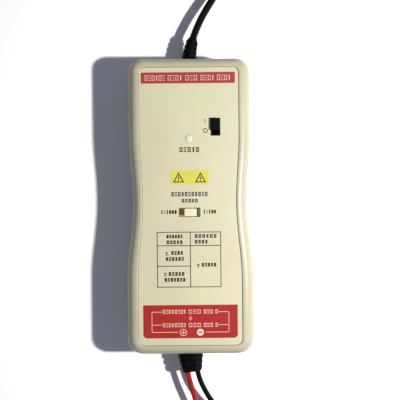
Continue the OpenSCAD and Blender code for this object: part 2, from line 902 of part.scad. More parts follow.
top_shell();
bottom_shell();
battery_door();
output_label();
caution_label();
input_label();
power_switch_body();
power_switch_knob();
ratio_switch_body();
ratio_switch_knob();
power_lamp();
main_board();
plus_divider();
minus_divider();
shield_can();
amplifier_chips();
trim_capacitors();
trim_pots();
smoothing_capacitors();
power_jack();
battery_1();
battery_2();
battery_3();
battery_4();
battery_springs();
battery_plates();
battery_wires();
case_screws();
board_screws();
coax_tail();
input_tails();
output_relief();
input_relief();
coax_cable();
coax_coil();
coax_tie();
bnc_boot();
bnc_body();
bnc_insulator();
bnc_pin();
bnc_collar();
red_lead();
red_coil();
red_tie();
red_plug();
red_pin();
black_lead();
black_coil();
black_tie();
black_plug();
black_pin();
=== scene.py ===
import math

import bpy
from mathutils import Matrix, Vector


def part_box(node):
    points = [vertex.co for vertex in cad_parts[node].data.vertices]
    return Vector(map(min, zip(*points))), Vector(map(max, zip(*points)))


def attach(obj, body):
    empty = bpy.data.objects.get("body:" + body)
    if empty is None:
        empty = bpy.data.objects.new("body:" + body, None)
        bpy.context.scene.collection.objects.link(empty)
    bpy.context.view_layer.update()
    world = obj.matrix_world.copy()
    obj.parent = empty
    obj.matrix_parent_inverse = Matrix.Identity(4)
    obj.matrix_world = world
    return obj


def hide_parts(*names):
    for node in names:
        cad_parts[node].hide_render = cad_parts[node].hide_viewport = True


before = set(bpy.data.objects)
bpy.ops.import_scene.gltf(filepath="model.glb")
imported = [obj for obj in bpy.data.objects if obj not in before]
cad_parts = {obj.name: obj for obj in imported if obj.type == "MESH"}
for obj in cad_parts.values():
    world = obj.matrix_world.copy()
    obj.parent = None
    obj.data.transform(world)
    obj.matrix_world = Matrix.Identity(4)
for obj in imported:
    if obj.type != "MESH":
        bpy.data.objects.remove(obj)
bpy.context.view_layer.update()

# Blender works in metres.  Cord routes and the marks on the front are given in millimetres.
MM = 0.001

WHITE = (1.0, 1.0, 1.0, 1.0)
ALONG_X, ALONG_Y, ALONG_Z = 0, 1, 2


def srgb(red, green, blue):
    """A colour given as 0 to 255 screen values, as the linear values that shaders use."""
    def linear(value):
        value = value / 255
        return value / 12.92 if value <= 0.04045 else ((value + 0.055) / 1.055) ** 2.4
    return (linear(red), linear(green), linear(blue), 1.0)


# ---- camera, light and table top ----

def make_camera():
    """Almost straight above the front panel."""
    camera = bpy.data.objects.new("bench_camera", bpy.data.cameras.new("bench_camera"))
    bpy.context.scene.collection.objects.link(camera)
    camera.location = (0.00664, 0.0036, 0.330)
    camera.rotation_euler = (0, 0, math.radians(-0.5))
    camera.data.sensor_width = 36
    camera.data.lens = 41.65
    camera.data.clip_start = 0.005
    bpy.context.scene.camera = camera


def make_lights():
    """A dim cool sky, and one small lamp high on the right that throws the shadow leftwards."""
    world = bpy.data.worlds.new("studio")
    bpy.context.scene.world = world
    world.use_nodes = True
    sky = world.node_tree.nodes["Background"]
    sky.inputs["Color"].default_value = (0.72, 0.78, 1.0, 1.0)
    sky.inputs["Strength"].default_value = 0.225
    lamp = bpy.data.objects.new("bench_lamp", bpy.data.lights.new("bench_lamp", "POINT"))
    lamp.data.energy = 8.8
    lamp.data.color = (1.0, 0.98, 0.94)
    lamp.data.shadow_soft_size = 0.011
    lamp.location = (0.228, -0.012, 0.32)
    lamp.visible_camera = False
    lamp.data.use_nodes = True
    falloff = lamp.data.node_tree.nodes.new("ShaderNodeLightFalloff")
    falloff.inputs["Strength"].default_value = 3.0
    emission = lamp.data.node_tree.nodes["Emission"]
    lamp.data.node_tree.links.new(falloff.outputs["Linear"], emission.inputs["Strength"])
    bpy.context.scene.collection.objects.link(lamp)
    bpy.context.scene.view_settings.view_transform = "Standard"


def make_table_top():
    """A white table top, a hair below the probe."""
    bpy.ops.object.select_all(action="DESELECT")
    bpy.ops.mesh.primitive_plane_add(size=6, location=(0, 0, -0.0002))
    floor = bpy.context.object
    floor.name = "table_top"
    material = new_material("table_white", 0.75)
    shader_of(material).inputs["Base Color"].default_value = (0.97, 0.97, 0.97, 1.0)
    floor.data.materials.append(material)


# ---- material building ----

def shader_of(material):
    return material.node_tree.nodes["Principled BSDF"]


def new_material(name, roughness, metallic=0.0):
    material = bpy.data.materials.new(name)
    material.use_nodes = True
    shader_of(material).inputs["Roughness"].default_value = roughness
    shader_of(material).inputs["Metallic"].default_value = metallic
    return material


def node(material, kind, **values):
    """A new shader node; each value sets a property or an input of that name."""
    made = material.node_tree.nodes.new(kind)
    for key, value in values.items():
        if hasattr(made, key):
            setattr(made, key, value)
        else:
            made.inputs[key.replace("_", " ")].default_value = value
    return made


def link(material, source, target):
    material.node_tree.links.new(source, target)


def feed(material, value, socket):
    """Links the socket to another node's output, or sets it when the value is a plain one."""
    if isinstance(value, bpy.types.NodeSocket):
        link(material, value, socket)
    else:
        socket.default_value = value


def placed(material, scale=(1, 1, 1)):
    """Object coordinates, scaled."""
    coords = node(material, "ShaderNodeTexCoord")
    mapping = node(material, "ShaderNodeMapping", Scale=scale)
    link(material, coords.outputs["Object"], mapping.inputs["Vector"])
    return mapping.outputs["Vector"]


def noise(material, scale, detail=2.0, vector=None, rough=0.5):
    made = node(material, "ShaderNodeTexNoise", Scale=scale, Detail=detail, Roughness=rough)
    link(material, vector or placed(material), made.inputs["Vector"])
    return made.outputs["Fac"]


def ramp(material, factor, stops):
    """A colour ramp; stops are (position, colour) pairs."""
    made = node(material, "ShaderNodeValToRGB")
    link(material, factor, made.inputs["Fac"])
    points = made.color_ramp.elements
    while len(points) < len(stops):
        points.new(0.5)
    for point, (position, colour) in zip(points, stops):
        point.position = position
        point.color = colour
    return made.outputs["Color"]


def span(material, factor, low, high):
    """The factor's 0.25 to 0.75 spread over low to high."""
    made = node(material, "ShaderNodeMapRange", From_Min=0.25, From_Max=0.75, To_Min=low, To_Max=high)
    link(material, factor, made.inputs["Value"])
    return made.outputs["Result"]


# Where a Mix node that mixes colours has its sockets
MIX_FACTOR, MIX_FIRST, MIX_SECOND, MIX_RESULT = 0, 6, 7, 2


def blend_colours(material, factor, first, second, mode="MIX"):
    made = node(material, "ShaderNodeMix", data_type="RGBA", blend_type=mode)
    feed(material, factor, made.inputs[MIX_FACTOR])
    feed(material, first, made.inputs[MIX_FIRST])
    feed(material, second, made.inputs[MIX_SECOND])
    return made.outputs[MIX_RESULT]


def shaded(colour, gain):
    """The colour made darker (below 1) or lighter (above 1)."""
    return (colour[0] * gain, colour[1] * gain, colour[2] * gain, 1.0)


def paint_colour(material, colour):
    link(material, colour, shader_of(material).inputs["Base Color"])


def paint_roughness(material, value):
    link(material, value, shader_of(material).inputs["Roughness"])


def add_bump(material, height, distance, strength=1.0, under=None):
    """A bump; under is the result of a coarser one that it lies on."""
    made = node(material, "ShaderNodeBump", Strength=strength, Distance=distance)
    link(material, height, made.inputs["Height"])
    if under:
        link(material, under, made.inputs["Normal"])
    link(material, made.outputs["Normal"], shader_of(material).inputs["Normal"])
    return made.outputs["Normal"]


def speckled(material, colour, scale, depth):
    """The colour with fine darker specks over it."""
    stops = [(0.35, shaded(WHITE, 1 - depth)), (0.6, WHITE)]
    specks = ramp(material, noise(material, scale, 2), stops)
    return blend_colours(material, 1.0, colour, specks, "MULTIPLY")


def moulded_plastic(name, colour, roughness, grain=0.00004, grain_scale=2200, cloud=0.06, speck=0.05):
    """Moulded plastic: slow clouding, a fine speckle, and the spark-eroded grain of its mould."""
    material = new_material(name, roughness)
    cloudy = [(0.3, shaded(colour, 1 - cloud)), (0.7, shaded(colour, 1 + cloud / 2))]
    clouds = ramp(material, noise(material, 22, 3), cloudy)
    paint_colour(material, speckled(material, clouds, 1300, speck))
    paint_roughness(material, span(material, noise(material, 160, 3), roughness - 0.06, roughness + 0.08))
    slow = add_bump(material, noise(material, 90, 2), 0.00012, 0.25)
    add_bump(material, noise(material, grain_scale, 3, rough=0.6), grain, 0.6, slow)
    return material


def printed_film(name, colour, roughness=0.32):
    """Printed film: uneven ink with faint dots, and a slightly wavy gloss."""
    material = new_material(name, roughness)
    uneven = [(0.3, shaded(colour, 0.92)), (0.7, shaded(colour, 1.06))]
    ink = ramp(material, noise(material, 45, 3), uneven)
    dots = node(material, "ShaderNodeTexVoronoi", Scale=1800.0)
    link(material, placed(material), dots.inputs["Vector"])
    dot_shade = ramp(material, dots.outputs["Distance"], [(0.0, shaded(WHITE, 0.94)), (0.5, WHITE)])
    paint_colour(material, blend_colours(material, 1.0, ink, dot_shade, "MULTIPLY"))
    paint_roughness(material, span(material, noise(material, 120, 2), roughness - 0.05, roughness + 0.07))
    add_bump(material, noise(material, 260, 2), 0.00003, 0.4)
    return material


def brushed_metal(name, colour, roughness, line_scale=(900, 40, 900)):
    """Plated metal: fine lines that dull it, and a darker tarnish in places."""
    material = new_material(name, roughness, 1.0)
    tarnish = ramp(material, noise(material, 130, 4), [(0.35, shaded(colour, 0.84)), (0.65, colour)])
    paint_colour(material, tarnish)
    lines = noise(material, 1.0, 3, placed(material, scale=line_scale))
    paint_roughness(material, span(material, lines, roughness - 0.08, roughness + 0.12))
    add_bump(material, lines, 0.00001, 0.5)
    return material


def cable_jacket(name, colour, roughness):
    """A soft extruded jacket: a little dust, dull patches, small dents and a fine grain."""
    material = new_material(name, roughness)
    dust = noise(material, 70, 4, rough=0.65)
    paint_colour(material, ramp(material, dust, [(0.35, colour), (0.75, shaded(colour, 1.6))]))
    paint_roughness(material, span(material, noise(material, 420, 3), roughness - 0.08, roughness + 0.12))
    dents = add_bump(material, noise(material, 140, 2), 0.00015, 0.3)
    add_bump(material, noise(material, 1500, 2), 0.00002, 0.5, dents)
    shader_of(material).inputs["Specular IOR Level"].default_value = 0.2
    return material


def calculated(material, operation, first, second):
    made = node(material, "ShaderNodeMath", operation=operation)
    feed(material, first, made.inputs[0])
    feed(material, second, made.inputs[1])
    return made.outputs[0]


def along_axis(material, axis, repeat=None):
    """The place along one axis; repeat is (start, pitch) for a pattern that comes again."""
    split = node(material, "ShaderNodeSeparateXYZ")
    link(material, placed(material), split.inputs["Vector"])
    if repeat is None:
        return split.outputs[axis]
    start, pitch = repeat
    from_start = calculated(material, "SUBTRACT", split.outputs[axis], start)
    return calculated(material, "FLOORED_MODULO", from_start, pitch)


def banded(material, place, edges, colours):
    """Colours that change sharply where the place passes each edge."""
    colour = colours[0]
    for edge, following in zip(edges, colours[1:]):
        past_edge = calculated(material, "GREATER_THAN", place, edge)
        colour = blend_colours(material, past_edge, colour, following)
    return colour


def two_tone(name, axis, edges, colours, roughness=0.4, repeat=None):
    """A small part in bands of colour, with specks, dull spots and a fine grain."""
    material = new_material(name, roughness)
    bands = banded(material, along_axis(material, axis, repeat), edges, colours)
    paint_colour(material, speckled(material, bands, 900, 0.14))
    paint_roughness(material, span(material, noise(material, 240, 3), roughness - 0.08, roughness + 0.12))
    add_bump(material, noise(material, 800, 3), 0.00003, 0.5)
    return material


def circuit_board(name):
    """Green solder mask over raised tracks, with specks and a fine grain."""
    material = new_material(name, 0.35)
    tracks = node(material, "ShaderNodeTexBrick", Scale=1.0, Brick_Width=9.0, Row_Height=2.4,
                  Mortar_Size=0.28, Color1=srgb(24, 92, 52), Color2=srgb(22, 86, 48),
                  Mortar=srgb(66, 140, 74))
    in_millimetres = placed(material, scale=(1000, 1000, 1000))
    link(material, in_millimetres, tracks.inputs["Vector"])
    paint_colour(material, speckled(material, tracks.outputs["Color"], 700, 0.15))
    paint_roughness(material, span(material, noise(material, 200, 3), 0.27, 0.45))
    raised = add_bump(material, tracks.outputs["Fac"], 0.00004, 0.5)
    add_bump(material, noise(material, 1500, 2), 0.00001, 0.4, raised)
    return material


# ---- piece building ----

def select_only(piece):
    bpy.ops.object.select_all(action="DESELECT")
    piece.select_set(True)
    bpy.context.view_layer.objects.active = piece


def apply_modifier(piece, kind, **values):
    modifier = piece.modifiers.new(kind.lower(), kind)
    for key, value in values.items():
        setattr(modifier, key, value)
    select_only(piece)
    bpy.ops.object.modifier_apply(modifier=modifier.name)


def copy_of(node_name, piece_name):
    """A copy of a CAD node, with its doubled corners merged."""
    piece = bpy.data.objects.new(piece_name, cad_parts[node_name].data.copy())
    bpy.context.scene.collection.objects.link(piece)
    piece.data.materials.clear()
    select_only(piece)
    bpy.ops.mesh.customdata_custom_splitnormals_clear()
    bpy.ops.object.mode_set(mode="EDIT")
    bpy.ops.mesh.select_all(action="SELECT")
    bpy.ops.mesh.remove_doubles(threshold=0.000002)
    bpy.ops.object.mode_set(mode="OBJECT")
    return piece


def round_edges(piece, width, segments=2, angle=38):
    apply_modifier(piece, "BEVEL", width=width, segments=segments, limit_method="ANGLE",
                   angle_limit=math.radians(angle), use_clamp_overlap=True)


def finish_piece(piece, body, slot, material, *nodes, smooth=35):
    """Smooth shading and a finish, and the body and CAD nodes that the piece belongs to. The slot is not
    used.
    """
    select_only(piece)
    bpy.ops.object.shade_smooth_by_angle(angle=math.radians(smooth))
    apply_modifier(piece, "WEIGHTED_NORMAL", keep_sharp=True, weight=80)
    piece.data.materials.clear()
    piece.data.materials.append(material)
    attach(piece, body)
    if nodes:
        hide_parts(*nodes)
    return piece


def better_node(node_name, body, slot, material, edge=0.0, segments=2, smooth=35):
    """The node's own shape with rounded edges and a finished surface."""
    piece = copy_of(node_name, node_name + "_finished")
    if edge:
        round_edges(piece, edge, segments)
    return finish_piece(piece, body, slot, material, node_name, smooth=smooth)


def paint_node(node_name, material):
    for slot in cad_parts[node_name].material_slots:
        slot.material = material


# ---- cords ----

COAX_D = 0.005
LEAD_D = 0.0036

# The stretches from the case to each coil, and from the coil to its plug
COAX_ROUTE = [
    (2.7, 113.3, 14.3), (3.5, 116, 14), (5.6, 121.5, 13.2), (8.5, 128, 12.4),
    (12.1, 134.6, 11.6), (15.9, 141, 10.8), (19.5, 147.6, 10.1), (22.6, 155, 9.5),
    (25, 163.5, 9), (26.4, 172, 8.6), (27, 180, 8.3),
]
COAX_END = [
    (6, 154.4, 3.2), (13, 155.6, 3.2), (20, 157.2, 3.4), (27, 160.4, 4),
    (33, 165.2, 5), (37.6, 171, 6.2), (40.4, 177.4, 7.1), (41, 182, 7.4),
]
RED_ROUTE = [
    (-2.9, -112.4, 14.4), (-2.4, -115.2, 14.1), (-1.5, -119.4, 13.6), (-0.3, -124.3, 13),
    (1.1, -129.3, 12.2), (2.5, -134.3, 11.4), (3.8, -139.8, 10.2), (4.6, -146, 8.8),
    (4.7, -153, 7.4), (3.9, -160, 6.4), (2.7, -165.5, 6.1),
]
RED_END = [(-3.2, -183.7, 2.6), (-5.5, -188.2, 3.4), (-7.3, -192.6, 4.8), (-8.7, -197, 5.6)]
BLACK_ROUTE = [
    (3.9, -112.3, 14.4), (4.5, -115, 14.1), (5.8, -119.5, 13.6), (7.8, -124.3, 13),
    (10.3, -129.3, 12.2), (13.3, -134.3, 11.2), (17, -139, 10), (21.2, -143.2, 8.5),
    (26, -146.8, 7),
]
BLACK_END = [(46.8, -183.7, 2.6), (44.5, -188.2, 3.4), (42.7, -192.6, 4.8), (41.3, -197, 5.6)]

COAX_COIL = dict(r_out=33, r_in=20, z_top=8.2, z_low=3.2, sense=1)
LEAD_COIL = dict(r_out=21, r_in=15.2, z_top=6.1, z_low=2.5, sense=-1)
POINTS_PER_TURN = 24
# How far each side of its middle, in turns, a coil takes to step down
STEP_DOWN = 0.25


def coil(centre, start, turns, r_out, r_in, z_top, z_low, sense):
    """Turns that wind inwards on the upper layer, step down, and wind outwards below."""
    count = round(turns * POINTS_PER_TURN)
    half = turns / 2
    points = []
    for i in range(count + 1):
        turned = turns * i / count
        radius = r_in + (r_out - r_in) * abs(2 * turned / turns - 1)
        down = min(1, max(0, (turned - half + STEP_DOWN) / (2 * STEP_DOWN)))
        angle = math.radians(start) + sense * 2 * math.pi * turned
        points.append((
            centre[0] + radius * math.cos(angle),
            centre[1] + radius * math.sin(angle),
            z_top + (z_low - z_top) * down,
        ))
    return points


def cord_curve(name, route, diameter, material):
    """A round cord along a route in millimetres."""
    curve = bpy.data.curves.new(name, "CURVE")
    curve.dimensions = "3D"
    curve.resolution_u = 5
    curve.bevel_depth = diameter / 2
    curve.bevel_resolution = 6
    curve.use_fill_caps = True
    spline = curve.splines.new("BEZIER")
    spline.bezier_points.add(len(route) - 1)
    for point, place in zip(spline.bezier_points, route):
        point.co = Vector(place) * MM
        point.handle_left_type = "AUTO"
        point.handle_right_type = "AUTO"
    curve.materials.append(material)
    piece = bpy.data.objects.new(name, curve)
    bpy.context.scene.collection.objects.link(piece)
    return piece


make_camera()
make_lights()
make_table_top()

black_jacket = cable_jacket("coax_jacket", srgb(4, 4, 5), 0.3)
red_jacket = cable_jacket("red_lead_jacket", srgb(132, 24, 23), 0.4)
black_lead_jacket = cable_jacket("black_lead_jacket", srgb(4, 5, 4), 0.3)

coax_path = COAX_ROUTE + coil((-6, 186), start=0, turns=4.78, **COAX_COIL) + COAX_END
red_path = RED_ROUTE + coil((-19, -169), start=0, turns=3 + 1 / 12, **LEAD_COIL) + RED_END
black_path = BLACK_ROUTE + coil((31, -169), start=90, turns=3 + 1 / 3, **LEAD_COIL) + BLACK_END

coax_cord = cord_curve("coax_cord", coax_path, COAX_D, black_jacket)
red_cord = cord_curve("red_cord", red_path, LEAD_D, red_jacket)
black_cord = cord_curve("black_cord", black_path, LEAD_D, black_lead_jacket)

for piece, slot, nodes in (
    (coax_cord, "black_jacket", ("coax_cable", "coax_coil")),
    (red_cord, "red_jacket", ("red_lead", "red_coil")),
    (black_cord, "black_jacket", ("black_lead", "black_coil")),
):
    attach(piece, "case")
    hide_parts(*nodes)


# ---- finishes ----

PANEL_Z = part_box("input_label")[0].z
LABEL_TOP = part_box("input_label")[1].z

# After the colour come the roughness, the depth and scale of the grain, clouding and speckle
front_plastic = moulded_plastic("front_half_cream", srgb(166, 161, 138), 0.42)
film_cream = moulded_plastic("front_film_cream", srgb(186, 182, 153), 0.44, 0.00003, 2600)
# The dark line around the film's edges is painted shade: the shadow in the step where the film meets the
# rim.
painted_edge_shade = printed_film("film_edge_painted_shade", srgb(70, 66, 48), 0.6)
back_plastic = moulded_plastic("back_half_cream", srgb(161, 156, 134), 0.46)
knob_black = moulded_plastic("switch_black", srgb(9, 9, 10), 0.4, 0.00003, 2600, 0.1, 0.08)
knob_ivory = moulded_plastic("switch_ivory", srgb(204, 197, 168), 0.35, 0.00002, 2600, 0.03, 0.02)
slot_olive = moulded_plastic("switch_olive", srgb(236, 230, 188), 0.5, 0.00004, 2000, 0.08, 0.08)
relief_rubber = moulded_plastic("relief_rubber", srgb(3, 3, 3), 0.5, 0.00005, 1500, 0.15, 0.12)
for material in (knob_black, relief_rubber):
    shader_of(material).inputs["Specular IOR Level"].default_value = 0.09
label_red = printed_film("label_red", srgb(149, 35, 27))
label_red_top = printed_film("label_red_top", srgb(147, 54, 52))
label_yellow = printed_film("label_yellow", srgb(193, 186, 75))
ink_dark = printed_film("ink_dark", srgb(22, 23, 20), 0.5)
ink_pale = printed_film("ink_pale", srgb(208, 180, 170), 0.4)
lens_milky = moulded_plastic("lamp_lens", srgb(198, 193, 170), 0.6, 0.00001, 3000, 0.03, 0.01)
strap_black = moulded_plastic("strap_black", srgb(34, 34, 38), 0.8, 0.00012, 1800, 0.2, 0.3)
plug_red = moulded_plastic("plug_red", srgb(164, 28, 30), 0.38, 0.00003, 2200, 0.08, 0.04)
plug_black = moulded_plastic("plug_black", srgb(30, 30, 32), 0.38, 0.00003, 2200, 0.1, 0.06)
white_nylon = moulded_plastic("white_nylon", srgb(236, 234, 226), 0.4, 0.00003, 2200, 0.04, 0.03)
nickel = brushed_metal("nickel_plate", srgb(205, 204, 198), 0.24)
screw_steel = brushed_metal("screw_steel", srgb(170, 170, 172), 0.32)
tinned = brushed_metal("tinned_steel", srgb(196, 196, 194), 0.36, (300, 300, 900))
gold_plate = brushed_metal("gold_plate", srgb(226, 186, 108), 0.22)


# ---- case ----

SHELL_EDGE = 0.00018

better_node("top_shell", "case", "case_front", front_plastic, SHELL_EDGE)
better_node("bottom_shell", "case", "case_back", back_plastic, SHELL_EDGE)
better_node("battery_door", "battery_door", "case_back", back_plastic, SHELL_EDGE)
better_node("power_switch_knob", "power_knob", "black_plastic", knob_black, 0.00022)
better_node("ratio_switch_knob", "ratio_knob", "ivory_plastic", knob_ivory, 0.00025)
better_node("power_lamp", "case", "milky_lens", lens_milky)
better_node("output_relief", "case", "black_rubber", relief_rubber, 0.0002)
better_node("input_relief", "case", "black_rubber", relief_rubber, 0.0004, 3)


# ---- carried-over nodes ----

TIN = srgb(196, 196, 194)
BRASS = srgb(206, 176, 110)
PART_BLACK = srgb(30, 30, 32)
WIRE_RED = srgb(170, 32, 34)
WIRE_BLACK = srgb(26, 26, 28)
RESISTOR_BLUE = srgb(96, 156, 198)
BOARD_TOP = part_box("plus_divider")[0].z
RESISTOR_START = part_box("plus_divider")[0].y + 2 * MM
RESISTOR_PITCH = 9.6 * MM
CELL_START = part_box("battery_1")[0].y
CELL_PITCH = 54.9 * MM
JACK_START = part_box("power_jack")[0].y
CHIP_START = -15 * MM
CHIP_PITCH = 10 * MM

# Each takes the places along an axis where the colour changes, and the colours between them
resistor_paint = two_tone(
    "resistor_bands", ALONG_Y,
    [1.3 * MM, 2.1 * MM, 2.7 * MM, 3.5 * MM, 4.3 * MM, 5.4 * MM, 6.1 * MM, 7.45 * MM],
    [RESISTOR_BLUE, srgb(190, 60, 40), RESISTOR_BLUE, srgb(60, 44, 34), RESISTOR_BLUE,
     srgb(200, 160, 60), RESISTOR_BLUE, srgb(104, 164, 204), TIN],
    repeat=(RESISTOR_START, RESISTOR_PITCH))
cell_paint = two_tone(
    "cell_sleeve", ALONG_Y, [1.35 * MM, 8 * MM, 9.2 * MM, 48.6 * MM],
    [TIN, srgb(58, 84, 92), srgb(206, 208, 202), srgb(52, 62, 68), TIN],
    0.3, repeat=(CELL_START, CELL_PITCH))
chip_paint = two_tone(
    "chip_and_legs", ALONG_X, [3 * MM, 7 * MM], [TIN, PART_BLACK, TIN],
    repeat=(CHIP_START, CHIP_PITCH))
trimmer_paint = two_tone(
    "trimmer_and_rotor", ALONG_Z, [BOARD_TOP + 2.45 * MM], [srgb(52, 120, 66), BRASS])
pot_paint = two_tone(
    "pot_and_screw", ALONG_Z, [BOARD_TOP + 4.62 * MM], [srgb(38, 82, 168), BRASS])
sleeve_paint = two_tone(
    "capacitor_sleeve", ALONG_Z, [BOARD_TOP + 0.5 * MM, BOARD_TOP + 6.6 * MM],
    [PART_BLACK, srgb(36, 42, 78), TIN])
jack_paint = two_tone(
    "jack_black", ALONG_Y, [JACK_START + 9.9 * MM], [PART_BLACK, srgb(40, 40, 42)])
battery_wire_paint = two_tone("battery_wire", ALONG_X, [0.0], [WIRE_BLACK, WIRE_RED])
lead_tail_paint = two_tone("lead_tails", ALONG_X, [-0.8 * MM], [WIRE_RED, WIRE_BLACK])

for node_name, material in (
    ("output_label", label_red_top),
    ("input_label", label_red),
    ("caution_label", label_yellow),
    ("power_switch_body", knob_black),
    ("ratio_switch_body", slot_olive),
    ("main_board", circuit_board("solder_mask")),
    ("plus_divider", resistor_paint),
    ("minus_divider", resistor_paint),
    ("shield_can", tinned),
    ("amplifier_chips", chip_paint),
    ("trim_capacitors", trimmer_paint),
    ("trim_pots", pot_paint),
    ("smoothing_capacitors", sleeve_paint),
    ("power_jack", jack_paint),
    ("battery_1", cell_paint),
    ("battery_2", cell_paint),
    ("battery_3", cell_paint),
    ("battery_4", cell_paint),
    ("battery_plates", tinned),
    ("battery_wires", battery_wire_paint),
    ("case_screws", screw_steel),
    ("board_screws", screw_steel),
    ("coax_tail", black_jacket),
    ("input_tails", lead_tail_paint),
):
    paint_node(node_name, material)


# ---- battery springs ----

SPRING_WIRE_R = 0.4 * MM
SPRING_R = 3.5 * MM
SPRING_PITCH = 1.25 * MM
SPRING_TURNS = 3
END_PLATE_R = 4.7 * MM
END_PLATE_T = 0.5 * MM
CELL_X = (-22.5, -7.5, 7.5, 22.5)


def battery_spring(name, x, y, sense, z):
    """A wound wire spring on its end plate; sense is +1 when it reaches towards +Y."""
    bpy.ops.object.select_all(action="DESELECT")
    bpy.ops.mesh.primitive_circle_add(vertices=8, radius=SPRING_WIRE_R, location=(0, 0, 0),
                                      rotation=(math.pi / 2, 0, 0))
    coil_wire = bpy.context.object
    coil_wire.name = name
    bpy.ops.object.mode_set(mode="EDIT")
    bpy.ops.mesh.select_all(action="SELECT")
    bpy.ops.transform.translate(value=(SPRING_R, 0, 0.9 * MM))
    bpy.ops.object.mode_set(mode="OBJECT")
    bpy.ops.object.transform_apply(location=True, rotation=True, scale=True)
    apply_modifier(coil_wire, "SCREW", axis="Z", angle=2 * math.pi, screw_offset=SPRING_PITCH,
                   iterations=SPRING_TURNS, steps=24, render_steps=24, use_normal_calculate=True,
                   use_smooth_shade=False)
    bpy.ops.object.mode_set(mode="EDIT")
    bpy.ops.mesh.select_all(action="DESELECT")
    bpy.ops.mesh.select_non_manifold()
    bpy.ops.mesh.edge_face_add()
    bpy.ops.mesh.select_all(action="DESELECT")
    bpy.ops.mesh.primitive_cylinder_add(vertices=40, radius=END_PLATE_R, depth=END_PLATE_T,
                                        location=(0, 0, END_PLATE_T / 2))
    bpy.ops.mesh.select_all(action="SELECT")
    bpy.ops.mesh.normals_make_consistent(inside=False)
    bpy.ops.transform.rotate(value=math.pi / 2 * sense, orient_axis="X", center_override=(0, 0, 0))
    bpy.ops.transform.translate(value=(x, y, z))
    bpy.ops.object.mode_set(mode="OBJECT")
    round_edges(coil_wire, 0.08 * MM, 1, 60)
    return coil_wire


spring_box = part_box("battery_springs")
spring_z = (spring_box[0].z + spring_box[1].z) / 2
springs = []
for index, x in enumerate(CELL_X):
    at_low_end = index % 2 == 1
    y = spring_box[0].y if at_low_end else spring_box[1].y
    sense = 1 if at_low_end else -1
    springs.append(battery_spring("battery_spring_%d" % (index + 1), x * MM, y, sense, spring_z))
for spring in springs:
    finish_piece(spring, "case", "nickel", tinned, "battery_springs")


# ---- prints on the front panel ----

INK_T = 0.036 * MM
INK_SUNK = 0.006 * MM
LAMP_PLACE = (0, 42.6)
LAMP_CENTRE = Vector((LAMP_PLACE[0] * MM, LAMP_PLACE[1] * MM, PANEL_Z))
# Width of the dark line of painted shade along the film's edges
LAMP_REACH = 4 * MM
PAINTED_SHADE_LINE = 0.24
FILM_TOP = PANEL_Z + INK_T - INK_SUNK
FLAT_WITHIN = 0.01 * MM


def start_print(name):
    """An empty mesh, open for marks to be added to it."""
    bpy.ops.object.select_all(action="DESELECT")
    bpy.ops.mesh.primitive_plane_add(size=MM, location=(0, 0, 0))
    bpy.context.object.name = name
    bpy.ops.object.mode_set(mode="EDIT")
    bpy.ops.mesh.select_all(action="SELECT")
    bpy.ops.mesh.delete(type="VERT")


def hollowed(line):
    """Leaves a line of the face just added, or all of it when the line is 0."""
    if line:
        bpy.ops.mesh.inset(thickness=line * MM)
        bpy.ops.mesh.delete(type="FACE")


def block(x, y, wide, tall, line=0):
    """A rectangle, filled or as an outline."""
    bpy.ops.mesh.select_all(action="DESELECT")
    bpy.ops.mesh.primitive_plane_add(size=MM, location=(x * MM, y * MM, 0))
    bpy.ops.transform.resize(value=(wide, tall, 1), center_override=(x * MM, y * MM, 0))
    hollowed(line)


def oval(x, y, wide, tall, line=0, corners=32, turn=0):
    """An oval, or a shape of few corners, filled or as an outline."""
    bpy.ops.mesh.select_all(action="DESELECT")
    bpy.ops.mesh.primitive_circle_add(vertices=corners, radius=MM / 2, fill_type="NGON",
                                      location=(x * MM, y * MM, 0),
                                      rotation=(0, 0, math.radians(turn)))
    bpy.ops.transform.resize(value=(wide, tall, 1), center_override=(x * MM, y * MM, 0))
    hollowed(line)


def stripe(x0, y0, x1, y1, line):
    """A straight line along X or Y."""
    block((x0 + x1) / 2, (y0 + y1) / 2, abs(x1 - x0) + line, abs(y1 - y0) + line)


# Widths of marks, as shares of their pitch, of each other or of their line
MARK_SHARE = 0.74
MIDDLE_BAR_SHARE = 0.8
POST_SHARE = 1.7
NOUGHT_SHARE = 0.84
DOT_SHARE = 1.2


def mark_row(x0, x1, y, tall, count, line):
    """A row of small plain shapes, where a caption would stand."""
    pitch = (x1 - x0) / count
    wide = pitch * MARK_SHARE
    for i in range(count):
        x = x0 + pitch * (i + 0.5)
        if i % 4 == 1:
            block(x, y + (tall - line) / 2, wide, line)
            block(x, y, wide * MIDDLE_BAR_SHARE, line)
            block(x, y - (tall - line) / 2, wide, line)
        elif i % 4 == 3:
            block(x, y, line * POST_SHARE, tall)
        else:
            block(x, y, wide, tall, line)


def numerals(x0, x1, y, tall, digits, line):
    """A scale number made of ones, noughts and a colon."""
    pitch = (x1 - x0) / len(digits)
    dot = line * DOT_SHARE
    for i, digit in enumerate(digits):
        x = x0 + pitch * (i + 0.5)
        if digit == "1":
            block(x, y, line, tall)
        elif digit == "0":
            oval(x, y, pitch * NOUGHT_SHARE, tall, line, 20)
        else:
            oval(x, y + tall / 4, dot, dot, 0, 10)
            oval(x, y - tall / 4, dot, dot, 0, 10)


def finish_print(height, material, slot):
    """Lifts the marks to their height, gives them the thickness of ink and finishes them."""
    bpy.ops.mesh.select_all(action="SELECT")
    bpy.ops.transform.translate(value=(0, 0, height - INK_SUNK))
    bpy.ops.object.mode_set(mode="OBJECT")
    printed = bpy.context.object
    apply_modifier(printed, "SOLIDIFY", thickness=INK_T, offset=1.0)
    return finish_piece(printed, "case", slot, material)


